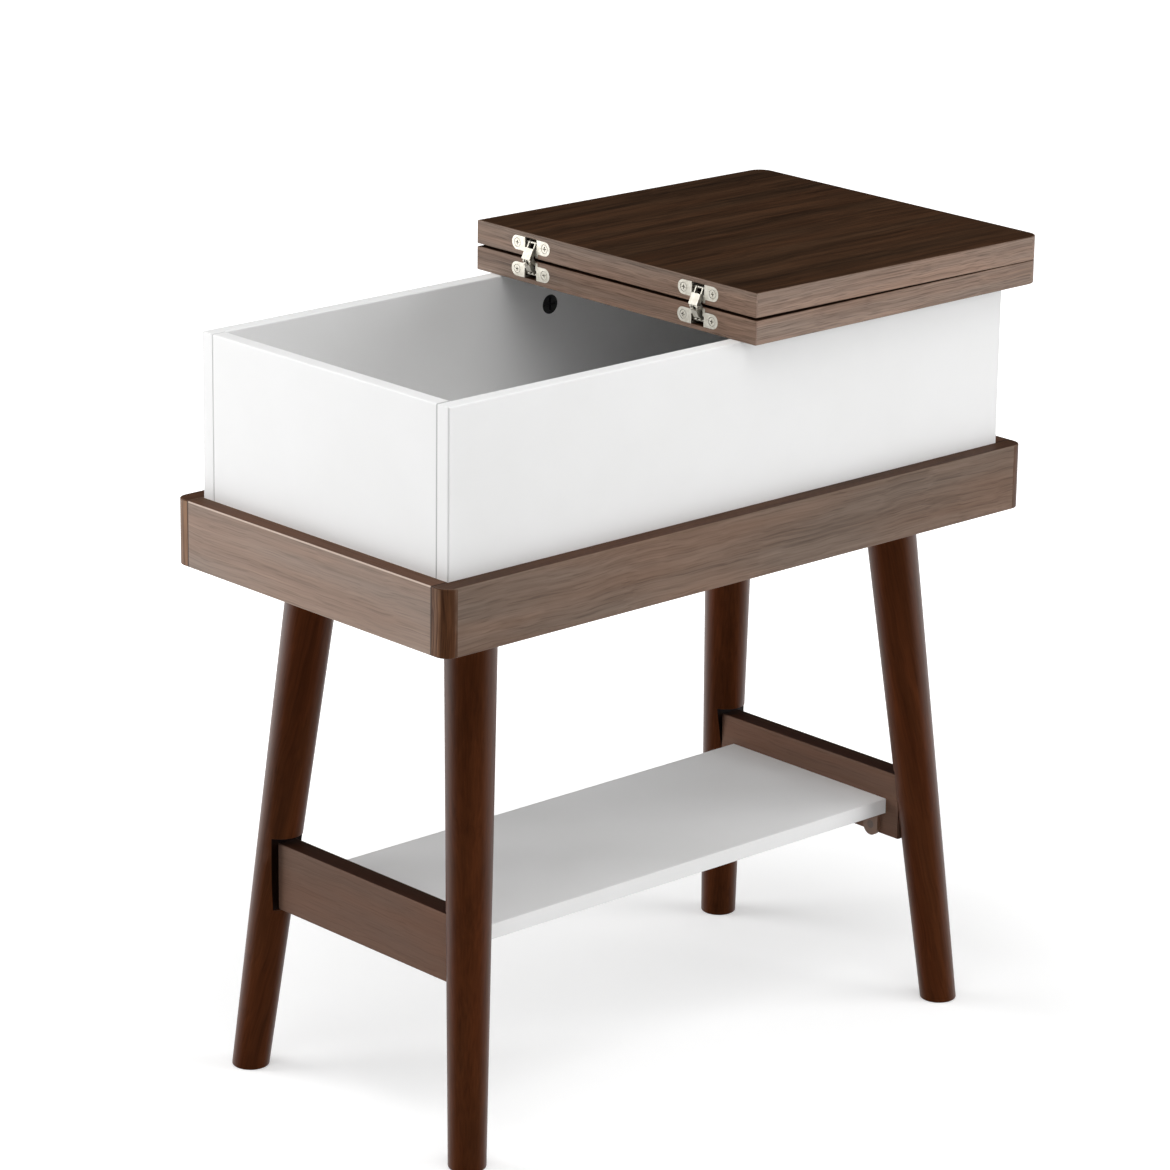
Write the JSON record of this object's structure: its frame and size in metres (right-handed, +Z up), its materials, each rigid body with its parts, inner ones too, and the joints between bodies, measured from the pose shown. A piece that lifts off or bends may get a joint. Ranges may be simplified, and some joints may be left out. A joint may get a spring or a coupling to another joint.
{
  "type": "flip top end table",
  "caption": "Narrow end table with an open storage box in a tray frame, splayed round legs, a lower shelf, and a top whose one half flips over on folding hinges onto the other.",
  "frame": {"origin": "on the floor, in the middle of the table's footprint as it stands with its top folded", "axes": "+X along the length towards the fixed leaf, +Y to the back, +Z up"},
  "size_m": [0.5901, 0.3, 0.6102],
  "materials": {
    "walnut_veneer": "satin open-grain walnut veneer",
    "walnut_edging": "satin walnut-grain edge strip",
    "stained_wood": "dark walnut stain under satin lacquer",
    "white_laminate": "matt white laminate on board",
    "hinge_nickel": "bright nickel plate",
    "zinc_steel": "zinc plate",
    "browned_steel": "browned screws",
    "black_metal": "black coating",
    "dowel_wood": "raw beech",
    "brown_plastic": "moulded dark brown plastic"
  },
  "bodies": {
    "table": {"apron_end_bands": "walnut_edging", "apron_screws": "zinc_steel", "back_apron": "walnut_veneer", "back_left_leg": "stained_wood", "back_right_leg": "stained_wood", "box_back_panel": "white_laminate", "box_dowels": "dowel_wood", "box_floor": "white_laminate", "box_floor_screws": "zinc_steel", "box_front_panel": "white_laminate", "box_left_panel": "white_laminate", "box_right_panel": "white_laminate", "cam_bolts": "zinc_steel", "cam_locks": "black_metal", "fixed_hinge_pins": "hinge_nickel", "fixed_hinge_screws": "hinge_nickel", "fixed_leaf": "walnut_veneer", "fixed_leaf_edge_strip": "walnut_edging", "fixed_leaf_hinge_strip": "walnut_edging", "front_apron": "walnut_veneer", "front_fixed_hinge_cup": "hinge_nickel", "front_left_leg": "stained_wood", "front_right_leg": "stained_wood", "left_apron": "walnut_veneer", "left_stretcher": "stained_wood", "leg_hanger_bolts": "zinc_steel", "leg_plate_screws": "zinc_steel", "leg_plates": "black_metal", "lower_shelf": "white_laminate", "rear_fixed_hinge_cup": "hinge_nickel", "right_apron": "walnut_veneer", "right_stretcher": "stained_wood", "shelf_bracket_screws": "browned_steel", "shelf_brackets": "brown_plastic", "stretcher_dowels": "dowel_wood"},
    "flip_top": {"flip_leaf": "walnut_veneer", "flip_leaf_hinge_strip": "walnut_edging", "flip_leaf_edge_strip": "walnut_edging", "rear_flip_hinge_cup": "hinge_nickel", "front_flip_hinge_cup": "hinge_nickel", "flip_hinge_screws": "hinge_nickel", "flip_hinge_pins": "hinge_nickel"},
    "lower_arms": {"rear_lower_hinge_arm": "hinge_nickel", "front_lower_hinge_arm": "hinge_nickel", "lower_arm_slide_pins": "hinge_nickel"},
    "upper_arms": {"rear_upper_hinge_arm": "hinge_nickel", "front_upper_hinge_arm": "hinge_nickel", "upper_arm_slide_pins": "hinge_nickel", "hinge_knee_rivets": "hinge_nickel"}
  },
  "joints": [
    {"name": "flip_hinge", "type": "hinge", "parent": "table", "child": "flip_top", "pos_m": [-0.005, 0, 0.5911], "axis": [0, -1, 0], "range_deg": [0, 180.35]},
    {"name": "lower_arm_pivot", "type": "hinge", "parent": "table", "child": "lower_arms", "pos_m": [-0.0028, 0, 0.5875], "axis": [0, -1, 0], "range_deg": [0, 105.5]},
    {"name": "upper_arm_pivot", "type": "hinge", "parent": "flip_top", "child": "upper_arms", "pos_m": [-0.00278, 0, 0.59469], "axis": [0, -1, 0], "range_deg": [-105.5, 0]}
  ],
  "couplings": [
    {"joint": "lower_arm_pivot", "follows": "flip_hinge", "ratio": 0.58457},
    {"joint": "upper_arm_pivot", "follows": "flip_hinge", "ratio": -0.58457}
  ]
}
